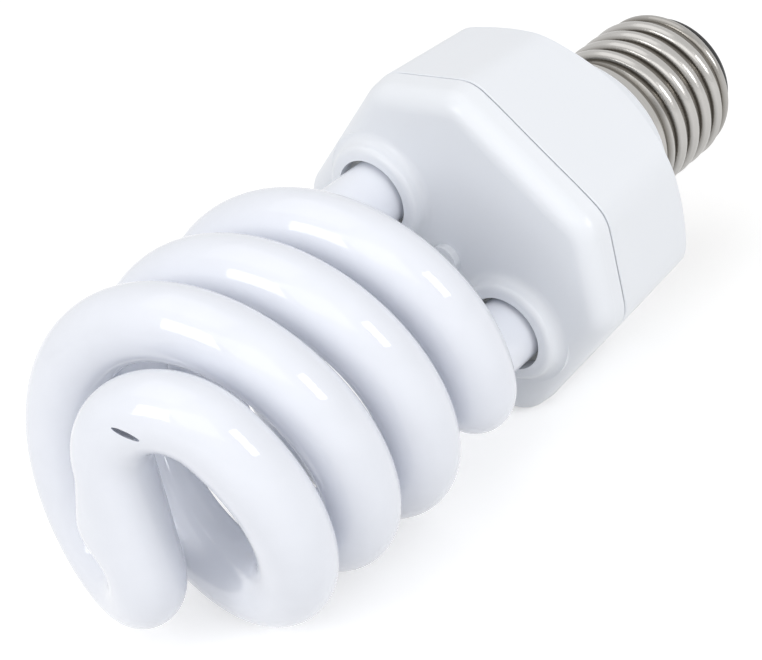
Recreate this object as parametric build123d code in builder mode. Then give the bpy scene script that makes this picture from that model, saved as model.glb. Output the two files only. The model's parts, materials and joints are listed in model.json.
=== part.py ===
"""A compact fluorescent reptile lamp lying on its side, cap towards +X, tube towards -X."""

import os
from math import asin, cos, degrees, pi, radians, sin, sqrt, tan

from build123d import *

os.makedirs("parts", exist_ok=True)

# Stations are distances along the lamp's axis, in millimetres, from the middle of its length.
# What is named a setback is measured towards the tip from the end of the cap's contact.
overall_length = 140.0
fit_clearance = 0.1

# Glass tube: one tube wound as a two-start right-hand coil, joined across its tip.
tube_diameter = 10.7
coil_radius = 21.05
coil_pitch = 26.4
coil_start_angle = -15.6
coil_start_setback = 86.1
coil_end_reach = 10.36933
tip_bend_radius = 9.0
leg_radius = 14.4
leg_angle = -45.0
leg_bend_setback = 76.1
leg_end_gap = 1.0
seal_length = 2.0
exhaust_radius = 1.4

# Housing: an octagon with four long and four short flats, parted at a seam.
seam_setback = 60.0
across_long_flats = 51.0
across_short_flats = 55.4
corner_radius = 6.0
wall = 1.7
rear_draft = 3.0
seam_gap = 0.25
seam_groove = 0.15

# Front cover.
cover_depth = 5.25
cover_draft = 6.0
cover_edge_radius = 3.4
collar_height = 2.5
collar_radius = 8.3
collar_lip_radius = 1.0
collar_flare = 1.5
tube_gap = 0.85
tongue_length = 2.6
tongue_wall = 1.1
pip_radius = 2.4
pip_height = 1.3
pip_recess_radius = 1.0
peg_radius = 1.6
peg_reach = 19.0

# Rear housing.
shoulder_setback = 32.0
shoulder_radius = 17.3
dome_angle = 45.0
flange_radius = 15.7
flange_setback = 28.6
flange_edge_radius = 0.5
stub_length = 8.5
stub_wall = 1.7
ledge_width = 2.6
ledge_depth = 3.4
ledge_length = 10.0

# Screw cap, size E27.
thread_crest_radius = 13.1
thread_root_radius = 12.05
thread_pitch = 3.629
thread_ridge_width = 2.5
thread_bury = 0.35
thread_fade = 1.6
thread_end_setback = 7.0
skirt_radius = 12.75
skirt_length = 4.2
shell_wall = 0.5
bead_setback = 5.95
bead_width = 1.7
bead_radius = 12.6
shell_end_setback = 4.4
shell_end_radius = 11.4
insulator_rim = 1.2
insulator_edge_setback = 2.3
insulator_edge_radius = 1.0
insulator_end_setback = 1.0
contact_radius = 5.0
contact_thickness = 0.7
solder_radius = 1.7
crimp_count = 6
crimp_radius = 1.1
crimp_depth = 0.3

# Circuit board and what it carries.
board_gap = 4.2
board_thickness = 1.6
board_edge_gap = 0.4
lead_radius = 0.35
insulated_lead_radius = 0.65
lead_spread = 2.0
post_side = 0.9
post_radius = 18.6
post_spread = 3.0
post_height = 2.2
electrolytic_radius = 6.3
electrolytic_length = 25.0
electrolytic_pitch = 5.0
choke_height = 14.0
choke_depth = 5.0
choke_leg = 4.0
choke_foot = 1.8
former_wall = 0.6
transistor_width = 7.8
transistor_height = 10.5
transistor_thickness = 2.8
diode_radius = 1.35
diode_length = 5.0
diode_pitch = 4.0
fuse_radius = 1.8
fuse_length = 9.0
toroid_radius = 4.8
toroid_bore = 2.2
toroid_width = 4.0
toroid_wire_radius = 0.3
toroid_turns = 3
toroid_turn_step = 24.0
stand_off = 0.6
transistor_edge = 15.1
diode_edge = 9.4
fuse_edge = 8.5
coupling_edge = 13.7

# Values worked out from the sizes above.
tube_radius = tube_diameter / 2
tip_station = -overall_length / 2
contact_end_station = overall_length / 2
coil_start_station = contact_end_station - coil_start_setback
coil_end_station = tip_station + coil_end_reach
leg_bend_station = contact_end_station - leg_bend_setback
seam_station = contact_end_station - seam_setback
leg_end_station = seam_station - leg_end_gap
shoulder_station = contact_end_station - shoulder_setback
flange_station = contact_end_station - flange_setback
thread_end_station = contact_end_station - thread_end_setback
bead_station = contact_end_station - bead_setback
shell_end_station = contact_end_station - shell_end_setback
insulator_edge_station = contact_end_station - insulator_edge_setback
contact_station = contact_end_station - insulator_end_setback
board_station = seam_station + board_gap
half_long = across_long_flats / 2
half_short = across_short_flats / 2
axis_height = half_short - seam_groove * tan(radians(rear_draft))
hole_radius = tube_radius + tube_gap
cover_station = seam_station - seam_gap
face_station = cover_station - cover_depth
collar_station = face_station - collar_height
shell_bore = thread_root_radius - shell_wall
stub_radius = shell_bore - fit_clearance
stub_bore = stub_radius - stub_wall
stub_end_station = flange_station + stub_length
board_top = board_station + board_thickness

lamp_axis = Axis((0, 0, axis_height), (1, 0, 0))
half_section = Plane(origin=(0, 0, axis_height), x_dir=(1, 0, 0), z_dir=(0, -1, 0))


def across(station):
    """The plane square to the lamp's axis at a station, facing the cap."""
    return Plane(origin=(station, 0, axis_height), x_dir=(0, 1, 0), z_dir=(1, 0, 0))


def around(radius, angle, station):
    """A point by its distance from the axis and its angle, anticlockwise seen from the tip."""
    turn = radians(angle)
    return Vector(station, -radius * cos(turn), axis_height + radius * sin(turn))


def seat(place, station):
    """The plane of something that stands at a place on the board, u along Y and v along Z."""
    u, v = place
    return Plane(origin=(station, u, axis_height + v), x_dir=(0, 1, 0), z_dir=(1, 0, 0))


def leg_section(angle):
    """The half section through the axis of one leg of the tube."""
    foot = around(leg_radius, angle, 0)
    return Plane(origin=foot, x_dir=(1, 0, 0), z_dir=(0, -1, 0))


def leg_plane(angle, station):
    """The plane square to a leg at a station, facing the cap."""
    return Plane(origin=around(leg_radius, angle, station), x_dir=(0, 1, 0), z_dir=(1, 0, 0))


def leg_axis(angle):
    return Axis(around(leg_radius, angle, 0), (1, 0, 0))


def octagon(inset=0.0):
    """The housing's outline, drawn in by an inset."""
    flat = half_short - inset
    reach = sqrt(2) * (half_long - inset) - flat
    side = [(flat, -reach), (flat, reach)]
    corners = []
    for _ in range(4):
        corners += side
        side = [(-y, x) for x, y in side]
    with BuildSketch() as outline:
        with BuildLine():
            Polyline(*corners, close=True)
        make_face()
        fillet(outline.vertices(), corner_radius)
    return outline.sketch


def octagon_at(station, inset):
    """The housing's outline at a station, drawn in by an inset."""
    with BuildSketch(across(station)) as outline:
        add(octagon(inset))
    return outline.sketch


def arc_between(start, corner, end):
    """The arc that leaves start and reaches end along the lines through their corner."""
    weight = cos(radians((corner - start).get_angle(end - start)))
    middle = (start + corner * (2 * weight) + end) / (2 + 2 * weight)
    ThreePointArc(start, middle, end)


def smooth_bend(start, start_way, end, end_way):
    """Two arcs, tangent to each other and to the ways in and out."""
    gap = end - start
    ways = start_way + end_way
    spread = 2 * (1 - start_way.dot(end_way))
    reach = (sqrt(gap.dot(ways) ** 2 + spread * gap.dot(gap)) - gap.dot(ways)) / spread
    first = start + start_way * reach
    second = end - end_way * reach
    middle = (first + second) / 2
    arc_between(start, first, middle)
    arc_between(middle, second, end)


def save(builder, label):
    builder.part.label = label
    export_step(builder.part, f"parts/{label}.step")


# Glass tube.
coil_end_angle = coil_start_angle + 360 * (coil_start_station - coil_end_station) / coil_pitch
bridge_station = tip_station + tube_radius
bend_centre_radius = coil_radius - tip_bend_radius
bridge_angle = coil_end_angle + degrees(asin(tip_bend_radius / bend_centre_radius))
bridge_half_length = sqrt(bend_centre_radius**2 - tip_bend_radius**2)
bridge_centre = around(0, 0, bridge_station)
bridge_end = around(bridge_half_length, bridge_angle, bridge_station)
bridge_way = (bridge_centre - bridge_end).normalized()
leg_top = around(leg_radius, leg_angle, leg_end_station)
leg_foot = around(leg_radius, leg_angle, leg_bend_station)


def coil_way(angle):
    """The coil's direction at an angle, towards the tip."""
    turn = radians(angle)
    return Vector(-coil_pitch / (2 * pi), coil_radius * sin(turn), coil_radius * cos(turn)).normalized()


with BuildPart() as glass_tube:
    with BuildLine():
        Line(leg_top, leg_foot)
        smooth_bend(
            leg_foot,
            Vector(-1, 0, 0),
            around(coil_radius, coil_start_angle, coil_start_station),
            coil_way(coil_start_angle),
        )
        coil = Helix(
            pitch=coil_pitch,
            height=coil_start_station - coil_end_station,
            radius=coil_radius,
            center=(coil_start_station, 0, axis_height),
            direction=(-1, 0, 0),
            mode=Mode.PRIVATE,
        )
        add(coil.rotate(lamp_axis, -90 - coil_start_angle))
        smooth_bend(
            around(coil_radius, coil_end_angle, coil_end_station),
            coil_way(coil_end_angle),
            bridge_end,
            bridge_way,
        )
        Line(bridge_end, bridge_centre)
    with BuildSketch(Plane(origin=leg_top, z_dir=(-1, 0, 0))):
        Circle(tube_radius)
    sweep()
    with BuildSketch(leg_section(leg_angle)):
        with BuildLine():
            Line((leg_end_station, 0), (leg_end_station, tube_radius))
            Spline(
                (leg_end_station, tube_radius),
                (leg_end_station + seal_length / 2, exhaust_radius),
                tangents=((1, 0), (1, 0)),
                tangent_scalars=(0.6, 0.6),
            )
            Polyline(
                (leg_end_station + seal_length / 2, exhaust_radius),
                (leg_end_station + seal_length, exhaust_radius),
                (leg_end_station + seal_length, 0),
                (leg_end_station, 0),
            )
        make_face()
    revolve(axis=leg_axis(leg_angle))
    add(glass_tube.part.rotate(lamp_axis, 180))
save(glass_tube, "glass_tube")

# Front cover with its two sockets.
cover_inset = cover_depth * tan(radians(cover_draft))
cavity_front = face_station + wall
cavity_inset = wall + cover_edge_radius / 2
tongue_end = seam_station + tongue_length
leg_angles = (leg_angle, leg_angle + 180)
peg_angles = (leg_angle + 90, leg_angle + 270)

with BuildPart() as front_cover:
    loft([octagon_at(cover_station, 0), octagon_at(face_station, cover_inset)])
    fillet(front_cover.faces().sort_by(Axis.X)[0].edges(), cover_edge_radius)
    for angle in leg_angles:
        with BuildSketch(leg_section(angle)):
            with BuildLine():
                flare_top = (face_station - collar_flare, collar_radius)
                flare_foot = (face_station, collar_radius + collar_flare)
                lip_top = (collar_station, collar_radius - collar_lip_radius)
                lip_foot = (collar_station + collar_lip_radius, collar_radius)
                Polyline((cavity_front, 0), (collar_station, 0), lip_top)
                TangentArc(lip_top, lip_foot, tangent=(0, 1))
                if lip_foot[0] < flare_top[0]:
                    Line(lip_foot, flare_top)
                TangentArc(flare_top, flare_foot, tangent=(1, 0))
                Polyline(flare_foot, (cavity_front, collar_radius + collar_flare), (cavity_front, 0))
            make_face()
        revolve(axis=leg_axis(angle))
    loft([octagon_at(cavity_front, cavity_inset), octagon_at(cover_station, wall)], mode=Mode.SUBTRACT)
    chamfer(front_cover.faces().sort_by(Axis.X)[-1].outer_wire().edges(), seam_groove)
    for angle in leg_angles:
        with BuildSketch(leg_plane(angle, cavity_front)):
            Circle(hole_radius + wall)
        extrude(amount=leg_end_station - cavity_front)
    for angle in leg_angles:
        with BuildSketch(leg_plane(angle, collar_station)):
            Circle(hole_radius)
        extrude(amount=leg_end_station - collar_station, mode=Mode.SUBTRACT)
    for angle in peg_angles:
        foot = around(peg_reach, angle, cavity_front)
        with BuildSketch(Plane(origin=foot, x_dir=(0, 1, 0), z_dir=(1, 0, 0))):
            Circle(peg_radius)
        extrude(amount=board_station - cavity_front)
    with BuildSketch(across(face_station)):
        Circle(pip_radius)
        Circle(pip_recess_radius, mode=Mode.SUBTRACT)
    extrude(amount=-pip_height)

tongue_slope = tan(radians(rear_draft)) * tongue_length
with BuildPart() as tongue:
    outer = wall + fit_clearance
    loft([octagon_at(seam_station - wall, outer), octagon_at(tongue_end, outer + tongue_slope)])
    inner = outer + tongue_wall
    loft(
        [octagon_at(seam_station - wall, inner), octagon_at(tongue_end, inner + tongue_slope)],
        mode=Mode.SUBTRACT,
    )
with front_cover:
    add(tongue.part)
save(front_cover, "front_cover")


# Rear housing with its flange and the stub that carries the cap.
def rear_inset(station):
    """How far the drafted rear housing has drawn in at a station."""
    return tan(radians(rear_draft)) * (station - seam_station)


def rear_form(inset, shift):
    """The drafted octagon of the rear housing, cut off by the cone of its dome."""
    shoulder = shoulder_station - shift
    outside = half_short + wall
    rim = shoulder - (outside - shoulder_radius) / tan(radians(dome_angle))
    with BuildPart() as form:
        loft([
            octagon_at(seam_station, inset),
            octagon_at(shoulder_station, inset + rear_inset(shoulder_station)),
        ])
        with BuildSketch(half_section):
            with BuildLine():
                Polyline(
                    (seam_station, 0),
                    (seam_station, outside),
                    (rim, outside),
                    (shoulder, shoulder_radius),
                    (shoulder, 0),
                    close=True,
                )
            make_face()
        revolve(axis=lamp_axis, mode=Mode.INTERSECT)
    return form.part


with BuildPart() as rear_housing:
    add(rear_form(0, 0))
    with BuildSketch(across(shoulder_station - wall)):
        Circle(flange_radius)
    extrude(amount=flange_station - shoulder_station + wall)
    fillet(rear_housing.faces().sort_by(Axis.X)[-1].edges(), flange_edge_radius)
    with BuildSketch(across(flange_station - wall)):
        Circle(stub_radius)
    extrude(amount=stub_length + wall)
    add(rear_form(wall, wall / sin(radians(dome_angle))), mode=Mode.SUBTRACT)
    with BuildSketch(across(seam_station)):
        Circle(stub_bore)
    extrude(amount=stub_end_station - seam_station, mode=Mode.SUBTRACT)
    chamfer(rear_housing.faces().sort_by(Axis.X)[0].outer_wire().edges(), seam_groove)
    ledge_outside = half_short - rear_inset(board_top + ledge_length) - wall / 2
    with BuildSketch(across(board_top)):
        with PolarLocations(ledge_outside - ledge_depth / 2, 4):
            Rectangle(ledge_depth, ledge_width)
    extrude(amount=ledge_length)
save(rear_housing, "rear_housing")

# Screw cap: a thin brass shell with a rolled right-hand round thread.
skirt_end = flange_station + skirt_length
skirt_step = skirt_radius - thread_root_radius
ridge_height = thread_crest_radius - thread_root_radius
ridge_half = thread_ridge_width / 2
thread_start_station = skirt_end + skirt_step
ridge_start = thread_start_station - thread_bury
ridge_end = thread_end_station + thread_bury
fade_floor = thread_root_radius - 2 * thread_bury
with BuildPart() as thread_ridge:
    with BuildLine():
        ridge_line = Helix(
            pitch=thread_pitch,
            height=ridge_end - ridge_start,
            radius=thread_root_radius,
            center=(ridge_start, 0, axis_height),
            direction=(1, 0, 0),
        )
    outwards = ridge_line @ 0 - Vector(ridge_start, 0, axis_height)
    with BuildSketch(Plane(ridge_line @ 0, x_dir=(1, 0, 0), z_dir=Vector(1, 0, 0).cross(outwards))):
        with BuildLine():
            ThreePointArc((-ridge_half, 0), (0, ridge_height), (ridge_half, 0))
            Polyline(
                (ridge_half, 0),
                (ridge_half, -thread_bury),
                (-ridge_half, -thread_bury),
                (-ridge_half, 0),
            )
        make_face()
    sweep(is_frenet=True)
    with BuildSketch(half_section):
        with BuildLine():
            Polyline(
                (thread_start_station, 0),
                (thread_start_station, fade_floor),
                (thread_start_station + thread_fade, thread_crest_radius + fit_clearance),
                (thread_end_station - thread_fade, thread_crest_radius + fit_clearance),
                (thread_end_station, fade_floor),
                (thread_end_station, 0),
                close=True,
            )
        make_face()
    revolve(axis=lamp_axis, mode=Mode.INTERSECT)

bead_start = bead_station - bead_width / 2
bead_end = bead_station + bead_width / 2
shell_slope_station = bead_end - shell_wall
shell_lip = shell_end_radius - shell_wall
with BuildPart() as screw_shell:
    with BuildSketch(half_section):
        with BuildLine():
            Polyline(
                (flange_station, shell_bore),
                (flange_station, skirt_radius),
                (skirt_end, skirt_radius),
                (thread_start_station, thread_root_radius),
                (bead_start, thread_root_radius),
            )
            ThreePointArc(
                (bead_start, thread_root_radius),
                (bead_station, bead_radius),
                (bead_end, thread_root_radius),
            )
            Polyline(
                (bead_end, thread_root_radius),
                (shell_end_station, shell_end_radius),
                (shell_end_station, shell_lip),
                (shell_end_station - shell_wall, shell_lip),
                (shell_slope_station, shell_bore),
                (flange_station, shell_bore),
            )
        make_face()
    revolve(axis=lamp_axis)
    add(thread_ridge.part)
    for turn in range(crimp_count):
        angle = 360 / crimp_count * (turn + 0.5)
        reach = skirt_radius + crimp_radius - crimp_depth
        with Locations(around(reach, angle, flange_station + skirt_length / 2)):
            Sphere(crimp_radius, mode=Mode.SUBTRACT)
save(screw_shell, "screw_shell")

# Glass insulator, contact plate and solder at the end of the cap.
insulator_radius = shell_bore - fit_clearance
contact_top = contact_station + contact_thickness
insulator_waist = shell_end_radius - shell_wall - fit_clearance
wire_hole_radius = insulated_lead_radius + fit_clearance
with BuildPart() as cap_insulator:
    with BuildSketch(half_section) as insulator_section:
        with BuildLine():
            Polyline(
                (shell_slope_station - insulator_rim, wire_hole_radius),
                (shell_slope_station - insulator_rim, insulator_radius),
                (shell_slope_station, insulator_radius),
                (shell_end_station - shell_wall, insulator_waist),
                (insulator_edge_station, insulator_waist),
                (contact_station, contact_radius),
                (contact_station, wire_hole_radius),
                close=True,
            )
        make_face()
        fillet(insulator_section.vertices().group_by(Axis.X)[-2], insulator_edge_radius)
    revolve(axis=lamp_axis)
save(cap_insulator, "cap_insulator")

with BuildPart() as centre_contact:
    with BuildSketch(across(contact_station)):
        Circle(contact_radius)
        Circle(wire_hole_radius, mode=Mode.SUBTRACT)
    extrude(amount=contact_thickness)
    contact_rim = centre_contact.faces().sort_by(Axis.X)[-1].outer_wire().edges()
    fillet(contact_rim, contact_thickness / 2)
save(centre_contact, "centre_contact")

solder_height = contact_end_station - contact_top
with BuildPart() as contact_solder:
    with BuildSketch(across(contact_top)):
        Circle(solder_radius)
    extrude(amount=solder_height)
    fillet(contact_solder.faces().sort_by(Axis.X)[-1].edges(), solder_height * 0.9)
save(contact_solder, "contact_solder")

# Cement that holds each leg in its socket.
cement_station = face_station
for name, angle in zip(("lower_tube_cement", "upper_tube_cement"), leg_angles):
    with BuildPart() as tube_cement:
        with BuildSketch(leg_plane(angle, cement_station)):
            Circle(hole_radius)
            Circle(tube_radius, mode=Mode.SUBTRACT)
        extrude(amount=leg_end_station - cement_station)
    save(tube_cement, name)

# Places on the board, across and up from the axis, and the pins that stand in it.
electrolytic_pins = [(-electrolytic_pitch / 2, 0), (electrolytic_pitch / 2, 0)]
choke_place = (13.6, -3.0)
choke_foot_reach = choke_depth / 2 + choke_leg - choke_foot / 2
choke_pins = [
    (choke_place[0] + side * choke_foot_reach, choke_place[1] + end * choke_leg / 2)
    for side in (-1, 1)
    for end in (-1, 1)
]
coupling_level = coupling_edge - half_short
transistor_level = half_short - transistor_edge
film_capacitors = {
    "resonant_capacitor": ((-14.0, 3.0), (5.0, 11.0, 10.0), [(-14.0, -1.0), (-14.0, 7.0)]),
    "coupling_capacitor": (
        (0.0, coupling_level),
        (9.0, 4.4, 8.0),
        [(-3.0, coupling_level), (3.0, coupling_level)],
    ),
}
transistors = {
    "high_side_transistor": (-9.0, transistor_level),
    "low_side_transistor": (0.4, transistor_level),
}
toroid_place = (-10.6, -8.0)
diode_places = [(diode_pitch * (row - 1.5), half_short - diode_edge) for row in range(4)]
fuse_place = (1.0, fuse_edge - half_short)
live_lead_place = (-7.8, 2.5)
neutral_lead_place = (0.0, -8.3)
pin_tail = board_station - 2 * lead_radius
body_station = board_top + stand_off


def ends(place, reach, turned):
    """The two places where a lying part's wires go through the board."""
    u, v = place
    if turned:
        return [(u, v - reach), (u, v + reach)]
    return [(u - reach, v), (u + reach, v)]


def post_spots(angle):
    """The places of the two posts beside a leg, and of the wires that leave its seal."""
    tangent = around(1, angle + 90, 0) - around(0, 0, 0)
    posts = [around(post_radius, angle, 0) + tangent * side * post_spread for side in (-1, 1)]
    wires = [around(leg_radius, angle, 0) + tangent * side * lead_spread for side in (-1, 1)]
    return list(zip(posts, wires))


diode_reach = diode_length / 2 + 2 * lead_radius
fuse_reach = fuse_length / 2 + 2 * lead_radius
transistor_pins = {
    name: [(u + pin * transistor_width / 3, v) for pin in (-1, 0, 1)]
    for name, (u, v) in transistors.items()
}
posts_and_wires = post_spots(leg_angles[0]) + post_spots(leg_angles[1])
post_places = [(post.Y, post.Z - axis_height) for post, _ in posts_and_wires]

small_pins = electrolytic_pins + choke_pins + ends(fuse_place, fuse_reach, False)
for _, _, pins in film_capacitors.values():
    small_pins += pins
for pins in transistor_pins.values():
    small_pins += pins
for place in diode_places:
    small_pins += ends(place, diode_reach, True)

with BuildPart() as circuit_board:
    with BuildSketch(across(board_station)):
        add(octagon(rear_inset(board_top) + wall + board_edge_gap))
        with Locations(*small_pins):
            Circle(lead_radius + fit_clearance, mode=Mode.SUBTRACT)
        with Locations(live_lead_place, neutral_lead_place):
            Circle(insulated_lead_radius + fit_clearance, mode=Mode.SUBTRACT)
        with Locations(*post_places):
            Rectangle(post_side + 2 * fit_clearance, post_side + 2 * fit_clearance, mode=Mode.SUBTRACT)
    extrude(amount=board_thickness)
save(circuit_board, "circuit_board")


def stand_pins(pins, top):
    """Straight wires through the board, up into the underside of a part."""
    with BuildSketch(across(pin_tail)) as feet:
        with Locations(*pins):
            Circle(lead_radius)
    extrude(feet.sketch, amount=top - pin_tail)


with BuildPart() as electrolytic_capacitor:
    with BuildSketch(across(body_station)):
        Circle(electrolytic_radius)
    extrude(amount=electrolytic_length)
    fillet(electrolytic_capacitor.faces().filter_by(Plane.YZ).edges(), electrolytic_radius / 8)
    stand_pins(electrolytic_pins, body_station + stand_off)
save(electrolytic_capacitor, "electrolytic_capacitor")

for name, (place, (width, depth, height), pins) in film_capacitors.items():
    with BuildPart() as film_capacitor:
        with BuildSketch(seat(place, body_station)):
            Rectangle(width, depth)
        extrude(amount=height)
        fillet(film_capacitor.edges(), min(width, depth) / 6)
        stand_pins(pins, body_station + stand_off)
    save(film_capacitor, name)

for name, place in transistors.items():
    with BuildPart() as transistor:
        with BuildSketch(seat(place, body_station)):
            Rectangle(transistor_width, transistor_thickness)
        extrude(amount=transistor_height)
        chamfer(transistor.faces().sort_by(Axis.X)[-1].edges(), transistor_thickness / 8)
        stand_pins(transistor_pins[name], body_station + stand_off)
    save(transistor, name)

# Choke: a ferrite core with two windows, a bobbin on its middle limb, and the winding.
core_station = body_station + stand_off
window_start = core_station + choke_leg / 2
window_end = core_station + choke_height - choke_leg / 2
with BuildPart() as choke_core:
    with BuildSketch(seat(choke_place, core_station)):
        Rectangle(choke_depth, 4 * choke_leg)
    extrude(amount=choke_height)
    chamfer(choke_core.edges().filter_by(Axis.Y), stand_off / 2)
    with BuildSketch(seat(choke_place, window_start)):
        with Locations((0, choke_leg), (0, -choke_leg)):
            Rectangle(choke_depth, choke_leg)
    extrude(amount=window_end - window_start, mode=Mode.SUBTRACT)
save(choke_core, "choke_core")

former_start = window_start + fit_clearance
former_end = window_end - fit_clearance
limb_gap = 2 * fit_clearance
former_size = (choke_depth + limb_gap + 2 * former_wall, choke_leg + limb_gap + 2 * former_wall)
cheek_size = (choke_depth + 2 * choke_leg, 3 * choke_leg - limb_gap)
with BuildPart() as choke_bobbin:
    with BuildSketch(seat(choke_place, former_start)):
        Rectangle(*former_size)
    extrude(amount=former_end - former_start)
    for start in (former_start, former_end - former_wall):
        with BuildSketch(seat(choke_place, start)):
            Rectangle(*cheek_size)
        extrude(amount=former_wall)
    with BuildSketch(seat(choke_place, window_start)):
        Rectangle(choke_depth + limb_gap, choke_leg + limb_gap)
    extrude(amount=window_end - window_start, mode=Mode.SUBTRACT)
    with BuildSketch(seat(choke_place, board_top)):
        with Locations((-choke_foot_reach, 0), (choke_foot_reach, 0)):
            Rectangle(choke_foot, 2 * choke_leg)
    extrude(amount=former_start - board_top)
    stand_pins(choke_pins, board_top + stand_off)
save(choke_bobbin, "choke_bobbin")

with BuildPart() as choke_winding:
    with BuildSketch(seat(choke_place, former_start + former_wall + fit_clearance)):
        Rectangle(cheek_size[0] - former_wall, cheek_size[1] - former_wall)
        fillet(vertices(), 2 * former_wall)
        Rectangle(former_size[0] + limb_gap, former_size[1] + limb_gap, mode=Mode.SUBTRACT)
    extrude(amount=former_end - former_start - 2 * former_wall - limb_gap)
save(choke_winding, "choke_winding")

# Feedback transformer: a ferrite ring flat on the board, with turns of wire round it.
toroid_station = board_top + 2 * (toroid_wire_radius + fit_clearance)
with BuildPart() as feedback_toroid:
    with BuildSketch(seat(toroid_place, toroid_station)):
        Circle(toroid_radius)
        Circle(toroid_bore, mode=Mode.SUBTRACT)
    extrude(amount=toroid_width)
    fillet(feedback_toroid.edges(), toroid_wire_radius)
save(feedback_toroid, "feedback_toroid")

turn_reach = toroid_wire_radius + fit_clearance
with BuildPart() as toroid_winding:
    centre = seat(toroid_place, toroid_station + toroid_width / 2)
    for group in range(3):
        for turn in range(toroid_turns):
            angle = 120 * group + toroid_turn_step * turn
            section = Plane(
                origin=centre.origin,
                x_dir=Vector(0, cos(radians(angle)), sin(radians(angle))),
                z_dir=Vector(0, -sin(radians(angle)), cos(radians(angle))),
            )
            with BuildSketch(section) as loop:
                with Locations(((toroid_bore + toroid_radius) / 2, 0)):
                    RectangleRounded(
                        toroid_radius - toroid_bore + 2 * turn_reach,
                        toroid_width + 2 * turn_reach,
                        2 * turn_reach,
                    )
            path = loop.sketch.faces()[0].outer_wire()
            with BuildSketch(Plane(origin=path @ 0, z_dir=path % 0)) as wire:
                Circle(toroid_wire_radius)
            sweep(wire.sketch, path=path)
save(toroid_winding, "toroid_winding")


def lying_part(place, reach, turned, body_length, body_radius):
    """A round part that lies on the board, its two wires bent down through it."""
    station = body_station + body_radius
    start, end = [seat(spot, station).origin for spot in ends(place, reach, turned)]
    drop = Vector(station - pin_tail, 0, 0)
    way = (end - start).normalized()
    with BuildPart() as part:
        with BuildLine():
            FilletPolyline(start - drop, start, end, end - drop, radius=1.5 * lead_radius)
        with BuildSketch(Plane(origin=start - drop, z_dir=(1, 0, 0))):
            Circle(lead_radius)
        sweep()
        with BuildSketch(Plane(origin=(start + end) / 2 - way * body_length / 2, z_dir=way)):
            Circle(body_radius)
        extrude(amount=body_length)
    return part.part


with BuildPart() as rectifier_diodes:
    for place in diode_places:
        add(lying_part(place, diode_reach, True, diode_length, diode_radius))
save(rectifier_diodes, "rectifier_diodes")

with BuildPart() as fuse_resistor:
    add(lying_part(fuse_place, fuse_reach, False, fuse_length, fuse_radius))
save(fuse_resistor, "fuse_resistor")

# Posts on the board, the wires from the tube's seals to them, and the leads to the cap.
with BuildPart() as lead_posts:
    with BuildSketch(across(board_station - post_height)):
        with Locations(*post_places):
            Rectangle(post_side, post_side)
    extrude(amount=post_height + board_thickness + stand_off / 2)
save(lead_posts, "lead_posts")

with BuildPart() as tube_leads:
    wire_start = leg_end_station + seal_length / 2 + fit_clearance
    wire_station = board_station - post_height / 2
    for post, wire in posts_and_wires:
        near = Vector(wire_start, wire.Y, wire.Z)
        corner = Vector(wire_station, wire.Y, wire.Z)
        target = Vector(wire_station, post.Y, post.Z)
        way = (target - corner).normalized()
        with BuildLine() as run:
            FilletPolyline(
                near,
                corner,
                target - way * (post_side / sqrt(2) + fit_clearance),
                radius=3 * lead_radius,
            )
        with BuildSketch(Plane(origin=near, z_dir=(1, 0, 0))) as wire_end:
            Circle(lead_radius)
        sweep(wire_end.sketch, path=run.line)
save(tube_leads, "tube_leads")


def lead(points, bend):
    """An insulated wire that follows a line of points."""
    with BuildPart() as part:
        with BuildLine():
            FilletPolyline(*points, radius=bend)
        with BuildSketch(Plane(origin=points[0], z_dir=(1, 0, 0))):
            Circle(insulated_lead_radius)
        sweep()
    return part.part


live_points = [
    seat(live_lead_place, pin_tail).origin,
    seat(live_lead_place, stub_end_station).origin,
    seat((0, 0), shell_slope_station - insulator_rim - insulated_lead_radius * 3).origin,
    seat((0, 0), contact_top).origin,
]
with BuildPart() as live_lead:
    add(lead(live_points, 4 * insulated_lead_radius))
save(live_lead, "live_lead")

neutral_turn = stub_end_station + insulated_lead_radius + 2 * fit_clearance
neutral_points = [
    seat(neutral_lead_place, pin_tail).origin,
    seat(neutral_lead_place, neutral_turn).origin,
    seat((0, fit_clearance / 2 - shell_bore), neutral_turn).origin,
]
with BuildPart() as neutral_lead:
    add(lead(neutral_points, 2 * insulated_lead_radius))
save(neutral_lead, "neutral_lead")
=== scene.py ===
"""A compact fluorescent reptile lamp lying on its side, dressed and set in a plain white studio."""

import json
from math import asin, cos, pi, radians, sin, sqrt

import bpy
from mathutils import Matrix, Quaternion, Vector


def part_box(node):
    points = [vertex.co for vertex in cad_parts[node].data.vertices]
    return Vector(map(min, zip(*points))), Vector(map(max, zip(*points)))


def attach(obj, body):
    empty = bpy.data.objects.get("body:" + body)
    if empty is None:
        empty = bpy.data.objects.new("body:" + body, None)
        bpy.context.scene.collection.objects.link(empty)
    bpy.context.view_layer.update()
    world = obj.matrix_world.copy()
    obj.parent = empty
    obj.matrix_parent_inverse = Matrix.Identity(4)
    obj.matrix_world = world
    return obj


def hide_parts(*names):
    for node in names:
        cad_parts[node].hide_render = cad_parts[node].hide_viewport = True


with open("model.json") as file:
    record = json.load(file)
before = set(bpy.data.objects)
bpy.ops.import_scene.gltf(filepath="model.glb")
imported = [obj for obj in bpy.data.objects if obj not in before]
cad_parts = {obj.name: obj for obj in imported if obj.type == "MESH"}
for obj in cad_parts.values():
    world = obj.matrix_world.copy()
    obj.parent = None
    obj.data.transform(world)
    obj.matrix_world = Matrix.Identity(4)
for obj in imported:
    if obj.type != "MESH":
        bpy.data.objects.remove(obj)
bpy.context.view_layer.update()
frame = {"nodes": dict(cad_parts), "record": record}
SHELL_LOW, SHELL_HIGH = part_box("screw_shell")
TUBE_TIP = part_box("glass_tube")[0][0]

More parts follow.
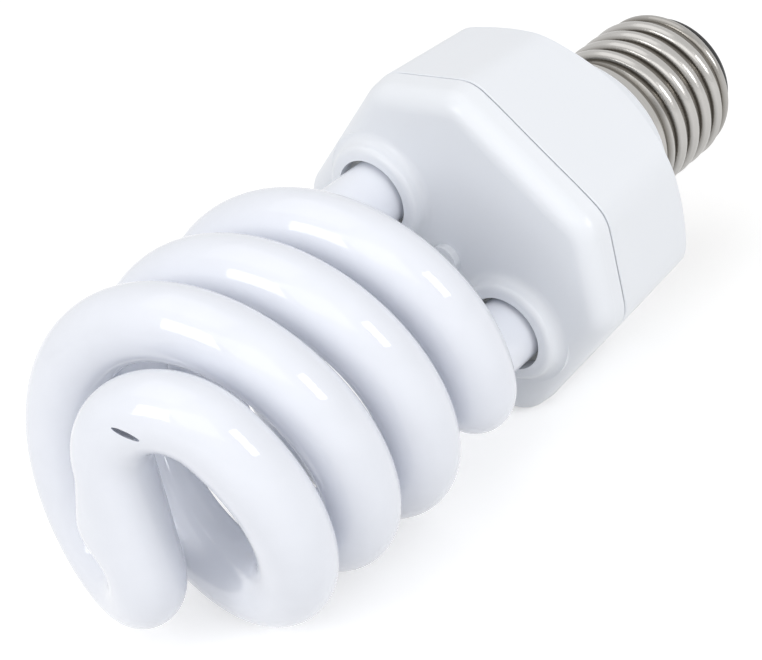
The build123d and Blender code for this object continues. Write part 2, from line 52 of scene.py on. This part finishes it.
bl_info = {
    "name": "Reptile lamp",
    "version": (1, 0, 0),
    "blender": (4, 5, 0),
    "location": "View3D > Sidebar > Lamp",
    "description": "Dresses a compact fluorescent spiral lamp and sets its studio",
    "category": "Object",
}


def length(name, description, default):
    """A size in metres that a user may change."""
    return bpy.props.FloatProperty(name=name, description=description, default=default, unit="LENGTH")


def turn(name, description, degrees):
    """An angle that a user may change."""
    return bpy.props.FloatProperty(
        name=name, description=description, default=radians(degrees), subtype="ANGLE"
    )


def srgb(code):
    """A colour written as six hex digits, as linear values."""
    shades = [int(code[k : k + 2], 16) / 255 for k in (0, 2, 4)]
    return [s / 12.92 if s <= 0.04045 else ((s + 0.055) / 1.055) ** 2.4 for s in shades]


def colour(name, description, code):
    """A colour that a user may change."""
    return bpy.props.FloatVectorProperty(
        name=name, description=description, default=srgb(code), subtype="COLOR", size=3, min=0, max=1
    )


def place(name, description, point):
    """A point that a user may move."""
    return bpy.props.FloatVectorProperty(
        name=name, description=description, default=point, subtype="TRANSLATION", unit="LENGTH", size=3
    )


def direction(name, description, way):
    """A direction that a user may change."""
    return bpy.props.FloatVectorProperty(
        name=name, description=description, default=way, subtype="DIRECTION", size=3
    )


class LampSizes(bpy.types.PropertyGroup):
    """Sizes of the pieces that are modelled here."""

    axis_height: length("Axis height", "Height of the lamp's axis", (SHELL_LOW[2] + SHELL_HIGH[2]) / 2)
    tip: length("Tip", "Station of the tube's tip along the axis", TUBE_TIP)
    tube_radius: length("Tube radius", "Outside radius of the glass tube", 0.00535)
    coil_radius: length("Coil radius", "Radius of the coil at the tube's middle", 0.02105)
    coil_pitch: length("Coil pitch", "Advance of one strand in a turn", 0.0264)
    coil_start: length("Coil start", "Station where the coil begins", -0.0161)
    coil_start_angle: turn("Coil start angle", "Angle where the coil begins", -15.6)
    coil_end_angle: turn("Coil end angle", "Angle where the coil ends", 578.0)
    tip_bend: length("Tip bend", "Radius of the bend into the bridge", 0.009)
    leg_radius: length("Leg reach", "Distance of each leg from the axis", 0.0144)
    leg_angle: turn("Leg angle", "Angle of the lower leg", -45.0)
    leg_bend: length("Leg bend", "Station where a leg begins to bend", -0.0061)
    leg_end: length("Leg end", "Station of the sealed end", 0.009)
    swell_place: place("Swell place", "Where the bridge swells", (-0.0678, 0.0044, 0.0276))
    swell_height: length("Swell height", "How far the swelling stands out", 0.0021)
    swell_spread: length("Swell spread", "How far from its middle the swelling reaches", 0.0085)
    knob_place: place("Knob place", "Where the swelling ends in a knob", (-0.0678, 0.0062, 0.0243))
    knob_height: length("Knob height", "How far the knob stands out", 0.0012)
    knob_spread: length("Knob spread", "How far from its middle the knob reaches", 0.0058)
    fold_place: place("Fold place", "Middle of the fold in the bend at the tip", (-0.0674, -0.0092, 0.0442))
    fold_half_length: length("Fold length", "Half the length of the fold", 0.002)
    fold_half_width: length("Fold width", "Half the width of the fold", 0.00035)
    fold_depth: length("Fold depth", "How deep the fold runs into the tube", 0.003)
    fold_way: direction("Fold direction", "Along the fold", (0.28, -0.83, -0.48))
    fold_lean: direction("Fold lean", "From the surface into the fold", (0.595, 0.644, -0.481))


class LampColours(bpy.types.PropertyGroup):
    """Colours of the finishes."""

    phosphor: colour("Phosphor", "White powder coat behind the glass", "F0F3FB")
    housing: colour("Housing", "Moulded white plastic", "F0F3F8")
    nickel: colour("Nickel", "Nickel plate on the cap", "BAB8B5")
    # painted shade: a darker grey laid into the cap's thread grooves, where shade falls
    painted_groove_shade: colour("Tarnish", "Dull metal in the grooves of the cap", "77736D")
    insulator: colour("Insulator", "Black glass at the cap's end", "0B0B0D")
    contact: colour("Contact", "Stamped brass contact", "C7A86A")
    solder: colour("Solder", "Tin solder", "B4B6BA")
    cement: colour("Cement", "White cement round the legs", "E2E2DE")
    laminate: colour("Laminate", "Paper laminate of the board", "A8793C")
    sleeve: colour("Sleeve", "Shrunk plastic sleeve", "14161C")
    epoxy: colour("Dipped epoxy", "Glossy dip on the film capacitors", "6E2A14")
    black: colour("Moulded epoxy", "Matt black epoxy", "17171A")
    ferrite: colour("Ferrite", "Sintered ferrite", "2E2E31")
    copper: colour("Copper", "Enamelled copper wire", "B0642E")
    resistor: colour("Resistor", "Coat of the fuse resistor", "7FA3AE")
    tin: colour("Tinned wire", "Tinned copper", "CFCFD2")
    silicone: colour("Silicone", "Sleeve of the leads", "DCDCD6")


def power(name, description, watts):
    """A lamp's power that a user may change."""
    return bpy.props.FloatProperty(name=name, description=description, default=watts, subtype="POWER")


class StudioSettings(bpy.types.PropertyGroup):
    """The camera and the lamps of the studio."""

    camera_place: place("Camera place", "Where the camera stands", (-0.19677, -0.19938, 0.17385))
    camera_aim: place("Camera aim", "The point in the middle of the picture", (-0.01459, -0.00215, 0.02655))
    camera_roll: turn("Camera roll", "Turn of the camera about its own axis", -15.1)
    focal_length: bpy.props.FloatProperty(
        name="Focal length",
        description="Focal length in millimetres on a 36 mm sensor",
        default=99.7,
        subtype="DISTANCE_CAMERA",
    )
    side_light: power("Side light", "Power of each side softbox in watts", 1.1)
    top_light: power("Top light", "Power of the overhead softbox in watts", 1.15)
    front_light: power("Front light", "Power of the large softbox over the camera in watts", 1.0)
    room_light: bpy.props.FloatProperty(
        name="Room light", description="Strength of the white room", default=0.54, min=0
    )


# Materials

# Where the cap's metal takes the full painted shade of its grooves and where it is bright, as distances
# from the axis
GROOVE_RADIUS = 0.0121
CREST_RADIUS = 0.0128


def add_node(tree, kind, settings=(), links=()):
    """A node with its sockets and settings filled in by name and its inputs linked."""
    node = tree.nodes.new(kind)
    for name, value in dict(settings).items():
        if isinstance(name, int) or name in node.inputs:
            node.inputs[name].default_value = value
        else:
            setattr(node, name, value)
    for name, source in dict(links).items():
        tree.links.new(source, node.inputs[name])
    return node


def new_finish(name, settings):
    """A material with one principled surface, its node tree, and the surface's place in metres."""
    material = bpy.data.materials.new(name)
    material.use_nodes = True
    tree = material.node_tree
    surface = tree.nodes["Principled BSDF"]
    for socket, value in settings.items():
        surface.inputs[socket].default_value = value
    place = add_node(tree, "ShaderNodeTexCoord").outputs["Object"]
    return material, tree, surface, place


def noise(tree, place, size, detail=2.0):
    """Soft noise whose blotches are about that many metres across."""
    settings = {"Scale": 1 / size, "Detail": detail}
    return add_node(tree, "ShaderNodeTexNoise", settings, {"Vector": place}).outputs[0]


def spread(tree, factor, low, high):
    """Noise brought to a range of values."""
    settings = {"From Min": 0.2, "From Max": 0.8, "To Min": low, "To Max": high, "clamp": False}
    return add_node(tree, "ShaderNodeMapRange", settings, {"Value": factor}).outputs["Result"]


def tint(tree, surface, factor, first, second):
    """The surface's colour varies between two colours."""
    settings = {"data_type": "RGBA", 6: (*first, 1), 7: (*second, 1)}
    mix = add_node(tree, "ShaderNodeMix", settings, {0: factor})
    tree.links.new(mix.outputs[2], surface.inputs["Base Color"])


def relief(tree, surface, height, depth, strength=1.0):
    """Raises the surface in bumps of that depth in metres."""
    settings = {"Distance": depth, "Strength": strength}
    bump = add_node(tree, "ShaderNodeBump", settings, {"Height": height})
    tree.links.new(bump.outputs["Normal"], surface.inputs["Normal"])


def shade(value, factor):
    """A colour made lighter or darker."""
    return [channel * factor for channel in value]


def phosphor_glass(colours):
    """Clear glass over white powder: a soft white body under a hard, wet-looking highlight."""
    powder = {"Roughness": 0.85, "Specular IOR Level": 0.1}
    glass = {"Coat Weight": 1.0, "Coat Roughness": 0.03, "Coat IOR": 1.52}
    material, tree, surface, place = new_finish("phosphor_coated_glass", powder | glass)
    cloud = spread(tree, noise(tree, place, 0.006, 3.0), 0.0, 1.0)
    tint(tree, surface, cloud, colours.phosphor, shade(colours.phosphor, 0.965))
    relief(tree, surface, noise(tree, place, 0.009, 1.0), 0.00006, 0.4)
    return material


def moulded_plastic(colours):
    """White moulded plastic: bright and even, with a satin gloss that varies a little."""
    settings = {"Roughness": 0.3, "Specular IOR Level": 0.45}
    material, tree, surface, place = new_finish("white_moulded_plastic", settings)
    tint(tree, surface, noise(tree, place, 0.02), colours.housing, shade(colours.housing, 0.98))
    tree.links.new(spread(tree, noise(tree, place, 0.012), 0.27, 0.33), surface.inputs["Roughness"])
    return material


def vector_maths(tree, operation, vector, other=(0, 0, 0)):
    """A vector worked on by another one, or its length."""
    settings = {"operation": operation, 1: other}
    node = add_node(tree, "ShaderNodeVectorMath", settings, {0: vector})
    return node.outputs["Value" if operation == "LENGTH" else "Vector"]


def nickel_plate(colours, axis_height):
    """Rolled and plated brass: grey metal, bright on its crests and darkened towards its grooves by painted
    shade.
    """
    material, tree, surface, place = new_finish("nickel_plated_brass", {"Metallic": 1.0})
    stretched = vector_maths(tree, "MULTIPLY", place, (9.0, 1.0, 1.0))
    streaks = noise(tree, stretched, 0.004, 4.0)
    from_axis = vector_maths(tree, "SUBTRACT", place, (0, 0, axis_height))
    across = vector_maths(tree, "MULTIPLY", from_axis, (0, 1, 1))
    reach = vector_maths(tree, "LENGTH", across)
    # painted shade: the colour darkens from the crests down into the grooves
    grooves = {"From Min": GROOVE_RADIUS, "From Max": CREST_RADIUS, "To Min": 1.0, "To Max": 0.0}
    groove_shade_mask = add_node(tree, "ShaderNodeMapRange", grooves, {"Value": reach}).outputs["Result"]
    tint(tree, surface, groove_shade_mask, colours.nickel, colours.painted_groove_shade)
    tree.links.new(spread(tree, streaks, 0.16, 0.3), surface.inputs["Roughness"])
    relief(tree, surface, streaks, 0.00001, 0.5)
    return material


def plain_finish(name, value, metallic, roughness, blotch, depth):
    """A finish whose colour, gloss and surface vary a little over blotches of that size."""
    settings = {"Metallic": metallic, "Roughness": roughness}
    material, tree, surface, place = new_finish(name, settings)
    cloud = noise(tree, place, blotch)
    tint(tree, surface, cloud, value, shade(value, 0.85))
    uneven = spread(tree, cloud, roughness * 0.85, roughness * 1.15)
    tree.links.new(uneven, surface.inputs["Roughness"])
    relief(tree, surface, cloud, depth)
    return material


# The other finishes by the record's slot: the material's name, the property that holds its colour,
# how metallic and how rough it is, and the width of its blotches and depth of its relief in metres
FINISHES = {
    # near-black glass with a hard gleam
    "black_glass": ("black_glass", "insulator", 0.0, 0.08, 0.003, 0.00001),
    # yellowish metal, faintly scuffed
    "contact_brass": ("stamped_brass", "contact", 1.0, 0.3, 0.001, 0.00001),
    # soft grey metal, a little lumpy
    "solder": ("tin_solder", "solder", 1.0, 0.35, 0.0008, 0.00003),
    # chalky white, grainy
    "white_cement": ("white_cement", "cement", 0.0, 0.9, 0.0006, 0.00005),
    # tan board with a mottled weave
    "board_laminate": ("paper_laminate", "laminate", 0.0, 0.5, 0.002, 0.00001),
    # dark plastic, drawn tight and glossy
    "black_sleeve": ("shrunk_sleeve", "sleeve", 0.0, 0.25, 0.004, 0.00001),
    # thick brown dip, glossy and uneven
    "brown_epoxy": ("dipped_epoxy", "epoxy", 0.0, 0.2, 0.002, 0.00006),
    # matt black with a fine grain
    "black_epoxy": ("moulded_epoxy", "black", 0.0, 0.55, 0.0004, 0.00001),
    # dull dark grey, like fired clay
    "ferrite": ("sintered_ferrite", "ferrite", 0.0, 0.65, 0.0005, 0.00002),
    # black nylon, slightly satin
    "bobbin_nylon": ("moulded_nylon", "black", 0.0, 0.45, 0.0015, 0.00001),
    # red-brown wire under clear enamel
    "enamelled_copper": ("enamelled_copper", "copper", 1.0, 0.22, 0.0012, 0.00003),
    # pale blue lacquer
    "resistor_body": ("resistor_lacquer", "resistor", 0.0, 0.4, 0.001, 0.00002),
    # bright silvery wire
    "tinned_wire": ("tinned_copper", "tin", 1.0, 0.28, 0.0006, 0.00001),
    # soft off-white rubber
    "lead_insulation": ("silicone_rubber", "silicone", 0.0, 0.6, 0.001, 0.00001),
}


def finishes(colours):
    """Every other finish, by the record's slot."""
    return {
        slot: plain_finish(name, getattr(colours, colour_name), *look)
        for slot, (name, colour_name, *look) in FINISHES.items()
    }


# Modelling

RING_POINTS = 48
BEND_STEPS = 14
BRIDGE_STEPS = 12
COIL_STEP = radians(5)
SMOOTH_ANGLE = radians(40)
# How near to a point the vertices lie that a swelling is pulled by
GRASP = 0.0012


def settle(obj):
    """Puts the object's origin at the row frame's, unturned and unscaled."""
    bpy.ops.object.select_all(action="DESELECT")
    obj.select_set(True)
    bpy.context.view_layer.objects.active = obj
    bpy.ops.object.transform_apply(location=True, rotation=True, scale=True)


def dress(obj, material):
    """The object has that one material."""
    obj.data.materials.clear()
    obj.data.materials.append(material)


def around(sizes, radius, angle, station):
    """A point by its distance from the lamp's axis and its angle, anticlockwise seen from the tip."""
    return Vector((station, -radius * cos(angle), sizes.axis_height + radius * sin(angle)))


def coil_way(sizes, angle):
    """The coil's direction at an angle, towards the tip."""
    advance = -sizes.coil_pitch / (2 * pi)
    return Vector((advance, sizes.coil_radius * sin(angle), sizes.coil_radius * cos(angle))).normalized()


def spin_to(start, way, end):
    """Spins the selected ring along the arc that leaves start in that direction and reaches end.

    The spin operator turns clockwise about the axis that it is given, so it is given the opposite one.
    """
    chord = end - start
    half_turn = way.angle(chord)
    axis = way.cross(chord).normalized()
    reach = chord.length / (2 * sin(half_turn))
    centre = start + axis.cross(way) * reach
    bpy.ops.mesh.spin(steps=BEND_STEPS, angle=2 * half_turn, center=centre, axis=-axis)


def spin_bend(start, start_way, end, end_way):
    """Two arcs, tangent to each other and to the ways in and out."""
    gap = end - start
    ways = start_way + end_way
    width = 2 * (1 - start_way.dot(end_way))
    reach = (sqrt(gap.dot(ways) ** 2 + width * gap.dot(gap)) - gap.dot(ways)) / width
    first = start + start_way * reach
    second = end - end_way * reach
    middle = (first + second) / 2
    spin_to(start, start_way, middle)
    spin_to(middle, (second - first).normalized(), end)


def swell(piece, middle, height, spread):
    """Pulls the surface of a piece in edit mode out sideways round a point."""
    bpy.ops.mesh.select_all(action="DESELECT")
    bpy.ops.object.mode_set(mode="OBJECT")
    for vertex in piece.data.vertices:
        vertex.select = (vertex.co - Vector(middle)).length < GRASP
    bpy.ops.object.mode_set(mode="EDIT")
    bpy.ops.transform.translate(
        value=(0, height, 0),
        use_proportional_edit=True,
        use_proportional_connected=True,
        proportional_edit_falloff="SMOOTH",
        proportional_size=spread,
    )


def ball_cut(piece, place, axes, half_sizes):
    """Cuts a rounded hollow into a piece and leaves one closed mesh."""
    bpy.ops.object.select_all(action="DESELECT")
    bpy.ops.mesh.primitive_uv_sphere_add(
        segments=64,
        ring_count=32,
        radius=1,
        location=place,
        rotation=axes.to_euler(),
        scale=half_sizes,
    )
    lump = bpy.context.object
    settle(lump)
    modifier = piece.modifiers.new("lump", "BOOLEAN")
    modifier.object = lump
    modifier.operation = "DIFFERENCE"
    modifier.solver = "EXACT"
    bpy.ops.object.select_all(action="DESELECT")
    piece.select_set(True)
    bpy.context.view_layer.objects.active = piece
    bpy.ops.object.modifier_apply(modifier=modifier.name)
    bpy.data.objects.remove(lump)


def wind_strand(sizes, bridge_middle):
    """Winds one strand as an open tube, from its sealed end to just before the bridge's middle."""
    coil_rise = sizes.coil_pitch / (2 * pi)
    coil_turn = sizes.coil_end_angle - sizes.coil_start_angle
    coil_steps = round(coil_turn / COIL_STEP)
    step = coil_turn / coil_steps
    coil_end = sizes.coil_start - coil_rise * coil_turn
    leg_top = around(sizes, sizes.leg_radius, sizes.leg_angle, sizes.leg_end)
    leg_foot = around(sizes, sizes.leg_radius, sizes.leg_angle, sizes.leg_bend)
    coil_top = around(sizes, sizes.coil_radius, sizes.coil_start_angle, sizes.coil_start)
    coil_foot = around(sizes, sizes.coil_radius, sizes.coil_end_angle, coil_end)
    bend_centre = sizes.coil_radius - sizes.tip_bend
    bridge_half = sqrt(bend_centre**2 - sizes.tip_bend**2)
    bridge_angle = sizes.coil_end_angle + asin(sizes.tip_bend / bend_centre)
    bridge_end = around(sizes, bridge_half, bridge_angle, bridge_middle.x)
    bridge_way = (bridge_middle - bridge_end).normalized()
    # the two strands' last rings stand half a stride from the middle on either side
    stride = (bridge_middle - bridge_end) / (BRIDGE_STEPS + 0.5)
    axis_point = Vector((0, 0, sizes.axis_height))
    to_tip = Vector((-1, 0, 0))

    bpy.ops.object.select_all(action="DESELECT")
    bpy.ops.mesh.primitive_circle_add(
        vertices=RING_POINTS, radius=sizes.tube_radius, location=leg_top, rotation=(0, pi / 2, 0)
    )
    strand = bpy.context.object
    bpy.ops.object.mode_set(mode="EDIT")
    bpy.ops.mesh.select_all(action="SELECT")
    bpy.ops.mesh.extrude_region_move(TRANSFORM_OT_translate={"value": leg_foot - leg_top})
    spin_bend(leg_foot, to_tip, coil_top, coil_way(sizes, sizes.coil_start_angle))
    for _ in range(coil_steps):
        bpy.ops.mesh.spin(steps=1, angle=step, center=axis_point, axis=-to_tip)
        bpy.ops.transform.translate(value=(-coil_rise * step, 0, 0))
    spin_bend(coil_foot, coil_way(sizes, sizes.coil_end_angle), bridge_end, bridge_way)
    for _ in range(BRIDGE_STEPS):
        bpy.ops.mesh.extrude_region_move(TRANSFORM_OT_translate={"value": stride})
    bpy.ops.object.mode_set(mode="OBJECT")
    settle(strand)
    return strand


def join_to_twin(strand, sizes, bridge_middle):
    """Joins a strand to its twin, turned half round the axis, as one closed tube."""
    axis_point = Vector((0, 0, sizes.axis_height))
    bpy.ops.object.duplicate()
    twin = bpy.context.object
    bpy.ops.transform.rotate(value=pi, orient_axis="X", center_override=axis_point)
    settle(twin)
    strand.select_set(True)
    bpy.context.view_layer.objects.active = strand
    bpy.ops.object.join()
    for vertex in strand.data.vertices:
        vertex.select = (vertex.co - bridge_middle).length < 1.02 * sizes.tube_radius
    bpy.ops.object.mode_set(mode="EDIT")
    bpy.ops.mesh.bridge_edge_loops()
    bpy.ops.mesh.select_all(action="DESELECT")
    bpy.ops.mesh.select_non_manifold()
    bpy.ops.mesh.fill_holes(sides=0)
    bpy.ops.mesh.select_all(action="SELECT")
    bpy.ops.mesh.normals_make_consistent(inside=False)
    bpy.ops.object.mode_set(mode="OBJECT")


def cut_fold(tube, sizes):
    """Cuts the fold that blowing left in the bend at the tip."""
    lean = Vector(sizes.fold_lean).normalized()
    side = lean.cross(sizes.fold_way).normalized()
    axes = Matrix((side.cross(lean), side, lean)).transposed()
    half_sizes = (sizes.fold_half_length, sizes.fold_half_width, sizes.fold_depth)
    ball_cut(tube, sizes.fold_place, axes, half_sizes)


class LAMP_OT_glass_tube(bpy.types.Operator):
    """Winds the glass tube: two legs, a two-start coil and the bridge across its tip"""

    bl_idname = "lamp.glass_tube"
    bl_label = "Glass tube"

    def execute(self, context):
        sizes = context.scene.lamp_sizes
        bridge_middle = around(sizes, 0, 0, sizes.tip + sizes.tube_radius)
        tube = wind_strand(sizes, bridge_middle)
        join_to_twin(tube, sizes, bridge_middle)
        bpy.ops.object.mode_set(mode="EDIT")
        swell(tube, sizes.swell_place, sizes.swell_height, sizes.swell_spread)
        swell(tube, sizes.knob_place, sizes.knob_height, sizes.knob_spread)
        bpy.ops.object.mode_set(mode="OBJECT")
        cut_fold(tube, sizes)
        bpy.ops.object.shade_smooth_by_angle(angle=SMOOTH_ANGLE)
        tube.name = "glass_tube_wound"
        dress(tube, phosphor_glass(context.scene.lamp_colours))
        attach(tube, "root")
        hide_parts("glass_tube")
        return {"FINISHED"}


class LAMP_OT_housing(bpy.types.Operator):
    """Finishes the front cover and the rear housing in white plastic"""

    bl_idname = "lamp.housing"
    bl_label = "Housing"

    def execute(self, context):
        plastic = moulded_plastic(context.scene.lamp_colours)
        for name in ("front_cover", "rear_housing"):
            dress(frame["nodes"][name], plastic)
        return {"FINISHED"}


class LAMP_OT_screw_cap(bpy.types.Operator):
    """Finishes the screw shell in nickel plate"""

    bl_idname = "lamp.screw_cap"
    bl_label = "Screw cap"

    def execute(self, context):
        scene = context.scene
        nickel = nickel_plate(scene.lamp_colours, scene.lamp_sizes.axis_height)
        dress(frame["nodes"]["screw_shell"], nickel)
        return {"FINISHED"}


class LAMP_OT_ballast(bpy.types.Operator):
    """Finishes the contact, the board and every piece in the housing"""

    bl_idname = "lamp.ballast"
    bl_label = "Ballast and contact"

    def execute(self, context):
        by_slot = finishes(context.scene.lamp_colours)
        for entry in frame["record"]["subparts"]:
            if entry["material_slot"] in by_slot:
                dress(frame["nodes"][entry["node"]], by_slot[entry["material_slot"]])
        return {"FINISHED"}


# The softboxes: their names, the settings that hold their power, their bearings from +Y towards +X
# and heights above the horizon in degrees, and their distances and sides in metres
SOFTBOXES = (
    ("softbox_left", "side_light", -86, 33, 0.7, (0.30, 0.30)),
    ("softbox_right", "side_light", 172, 24, 0.7, (0.22, 0.22)),
    ("softbox_top", "top_light", 0, 80, 0.9, (0.8, 0.8)),
    ("softbox_front", "front_light", -130, 38, 0.9, (0.7, 0.5)),
)
# The floor's own light, seen but not cast on the object, that brings it up to white
FLOOR_GLOW = 0.45


def add_softbox(name, watts, bearing, height, distance, sides, aim):
    """A rectangular lamp turned to the aim, at a bearing and a height in degrees."""
    bearing, height = radians(bearing), radians(height)
    way = Vector((sin(bearing) * cos(height), cos(bearing) * cos(height), sin(height)))
    facing = way.to_track_quat("Z", "Y").to_euler()
    bpy.ops.object.light_add(type="AREA", location=aim + way * distance, rotation=facing)
    lamp = bpy.context.object
    lamp.name = name
    lamp.data.shape = "RECTANGLE"
    lamp.data.size, lamp.data.size_y = sides
    lamp.data.energy = watts


def seen_as_white(tree):
    """1 for the camera, reflections and clear glass, which see plain white, and 0 for other rays."""
    light = add_node(tree, "ShaderNodeLightPath")
    seen = light.outputs["Is Camera Ray"]
    for ray in ("Is Glossy Ray", "Is Transmission Ray"):
        links = {0: seen, 1: light.outputs[ray]}
        seen = add_node(tree, "ShaderNodeMath", {"operation": "MAXIMUM"}, links).outputs[0]
    return seen


def add_floor():
    """A white paper floor that keeps the object's shadow."""
    bpy.ops.object.select_all(action="DESELECT")
    bpy.ops.mesh.primitive_plane_add(size=4)
    floor = bpy.context.object
    floor.name = "studio_floor"
    material = bpy.data.materials.new("white_paper")
    material.use_nodes = True
    tree = material.node_tree
    surface = tree.nodes["Principled BSDF"]
    surface.inputs["Base Color"].default_value = (0.8, 0.8, 0.8, 1)
    surface.inputs["Roughness"].default_value = 0.9
    surface.inputs["Specular IOR Level"].default_value = 0.0
    surface.inputs["Emission Color"].default_value = (1, 1, 1, 1)
    settings = {"operation": "MULTIPLY", 1: FLOOR_GLOW}
    glow = add_node(tree, "ShaderNodeMath", settings, {0: seen_as_white(tree)})
    tree.links.new(glow.outputs[0], surface.inputs["Emission Strength"])
    dress(floor, material)


def add_room(light):
    """A white room, of that strength where it lights the object."""
    world = bpy.data.worlds.new("white_room")
    world.use_nodes = True
    bpy.context.scene.world = world
    tree = world.node_tree
    background = tree.nodes["Background"]
    background.inputs["Color"].default_value = (1, 1, 1, 1)
    settings = {"To Min": light, "To Max": 1.0}
    strength = add_node(tree, "ShaderNodeMapRange", settings, {"Value": seen_as_white(tree)})
    tree.links.new(strength.outputs["Result"], background.inputs["Strength"])


def add_camera(studio, aim):
    """The camera at the photograph's viewing angle."""
    view = (Vector(studio.camera_place) - aim).to_track_quat("Z", "Y")
    turned = view @ Quaternion((0, 0, 1), studio.camera_roll)
    bpy.ops.object.camera_add(location=studio.camera_place, rotation=turned.to_euler())
    camera = bpy.context.object
    camera.data.sensor_fit = "HORIZONTAL"
    camera.data.sensor_width = 36
    camera.data.lens = studio.focal_length
    camera.data.clip_start = 0.01
    bpy.context.scene.camera = camera


class LAMP_OT_studio(bpy.types.Operator):
    """Sets the floor, the white room, the lamps and the camera"""

    bl_idname = "lamp.studio"
    bl_label = "Studio"

    def execute(self, context):
        studio = context.scene.lamp_studio
        aim = Vector(studio.camera_aim)
        add_floor()
        add_room(studio.room_light)
        for name, setting, bearing, height, distance, sides in SOFTBOXES:
            watts = getattr(studio, setting)
            add_softbox(name, watts, bearing, height, distance, sides, aim)
        add_camera(studio, aim)
        context.scene.view_settings.view_transform = "Standard"
        return {"FINISHED"}


STEPS = (LAMP_OT_glass_tube, LAMP_OT_housing, LAMP_OT_screw_cap, LAMP_OT_ballast, LAMP_OT_studio)
GROUPS = {"lamp_sizes": LampSizes, "lamp_colours": LampColours, "lamp_studio": StudioSettings}


class LAMP_PT_panel(bpy.types.Panel):
    """Lists the pieces, their sizes and their colours"""

    bl_idname = "LAMP_PT_panel"
    bl_label = "Reptile lamp"
    bl_space_type = "VIEW_3D"
    bl_region_type = "UI"
    bl_category = "Lamp"

    def draw(self, context):
        for step in STEPS:
            self.layout.operator(step.bl_idname)
        for name in GROUPS:
            settings = getattr(context.scene, name)
            for entry in settings.__annotations__:
                self.layout.prop(settings, entry)


def register():
    """Registers the settings, the operators and the panel."""
    for group in GROUPS.values():
        bpy.utils.register_class(group)
    for step in STEPS:
        bpy.utils.register_class(step)
    bpy.utils.register_class(LAMP_PT_panel)
    for name, group in GROUPS.items():
        setattr(bpy.types.Scene, name, bpy.props.PointerProperty(type=group))


def unregister():
    """Takes away what register added."""
    for name in GROUPS:
        delattr(bpy.types.Scene, name)
    bpy.utils.unregister_class(LAMP_PT_panel)
    for step in reversed(STEPS):
        bpy.utils.unregister_class(step)
    for group in reversed(GROUPS.values()):
        bpy.utils.unregister_class(group)


def main():
    """Builds the visual model and its studio."""
    register()
    bpy.ops.lamp.glass_tube()
    bpy.ops.lamp.housing()
    bpy.ops.lamp.screw_cap()
    bpy.ops.lamp.ballast()
    bpy.ops.lamp.studio()


if __name__ == "__main__":
    main()
